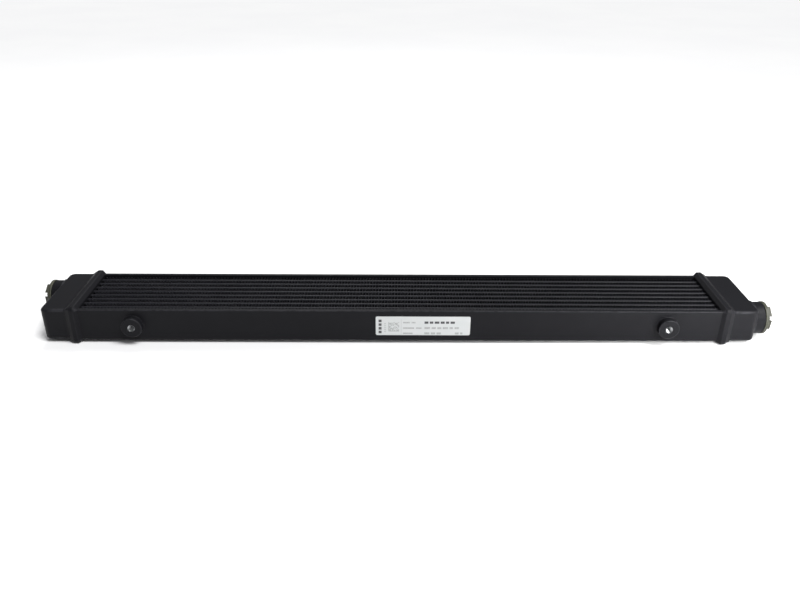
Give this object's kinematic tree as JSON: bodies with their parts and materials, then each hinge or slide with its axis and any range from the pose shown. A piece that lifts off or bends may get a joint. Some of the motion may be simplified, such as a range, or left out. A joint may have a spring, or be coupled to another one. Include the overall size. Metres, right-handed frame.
{
  "type": "hydraulic oil cooler",
  "caption": "Slim brazed tube-and-fin oil cooler with an end tank and a threaded port at each end, weld-on mounting bosses and screw-in transport plugs.",
  "frame": {"origin": "middle of the cooler, on the plane that the raised edges of the header plates stand on", "axes": "+X along the oil tubes towards the end whose port is nearer the front plate, -Y out of the front plate, +Z along the air flow"},
  "size_m": [0.6958, 0.0926, 0.0374],
  "materials": {
    "black_coat": "satin",
    "core_coat": "satin",
    "bare_aluminium": "satin",
    "olive_plastic": "matte",
    "seal_rubber": "matte",
    "label_film": "satin"
  },
  "bodies": {
    "root": {"front_side_plate": "black_coat", "rear_side_plate": "black_coat", "front_left_mounting_boss": "black_coat", "front_right_mounting_boss": "black_coat", "rear_left_mounting_boss": "black_coat", "rear_right_mounting_boss": "black_coat", "left_header_plate": "black_coat", "left_tank": "black_coat", "left_port": "black_coat", "right_header_plate": "black_coat", "right_tank": "black_coat", "right_port": "black_coat", "oil_tube_1": "core_coat", "turbulator_1": "bare_aluminium", "oil_tube_2": "core_coat", "turbulator_2": "bare_aluminium", "oil_tube_3": "core_coat", "turbulator_3": "bare_aluminium", "oil_tube_4": "core_coat", "turbulator_4": "bare_aluminium", "oil_tube_5": "core_coat", "turbulator_5": "bare_aluminium", "oil_tube_6": "core_coat", "turbulator_6": "bare_aluminium", "oil_tube_7": "core_coat", "turbulator_7": "bare_aluminium", "oil_tube_8": "core_coat", "turbulator_8": "bare_aluminium", "air_fin_1": "core_coat", "air_fin_2": "core_coat", "air_fin_3": "core_coat", "air_fin_4": "core_coat", "air_fin_5": "core_coat", "air_fin_6": "core_coat", "air_fin_7": "core_coat", "air_fin_8": "core_coat", "air_fin_9": "core_coat", "label": "label_film"},
    "left_seal": {"left_plug_seal": "seal_rubber"},
    "left_plug": {"left_port_plug": "olive_plastic"},
    "right_seal": {"right_plug_seal": "seal_rubber"},
    "right_plug": {"right_port_plug": "olive_plastic"}
  },
  "joints": [
    {"name": "left_plug_travel", "type": "slide", "parent": "root", "child": "left_seal", "axis": [-1, 0, 0], "range_m": [0, 0.0121]},
    {"name": "left_plug_turn", "type": "hinge", "parent": "left_seal", "child": "left_plug", "pos_m": [-0.3403, 0.021, 0.0187], "axis": [-1, 0, 0], "range_deg": [0, 2880]},
    {"name": "right_plug_travel", "type": "slide", "parent": "root", "child": "right_seal", "axis": [1, 0, 0], "range_m": [0, 0.0121]},
    {"name": "right_plug_turn", "type": "hinge", "parent": "right_seal", "child": "right_plug", "pos_m": [0.3403, -0.021, 0.0187], "axis": [1, 0, 0], "range_deg": [0, 2880]}
  ],
  "couplings": [
    {"joint": "left_plug_travel", "follows": "left_plug_turn", "m_per_rad": 0.00023873},
    {"joint": "right_plug_travel", "follows": "right_plug_turn", "m_per_rad": 0.00023873}
  ]
}
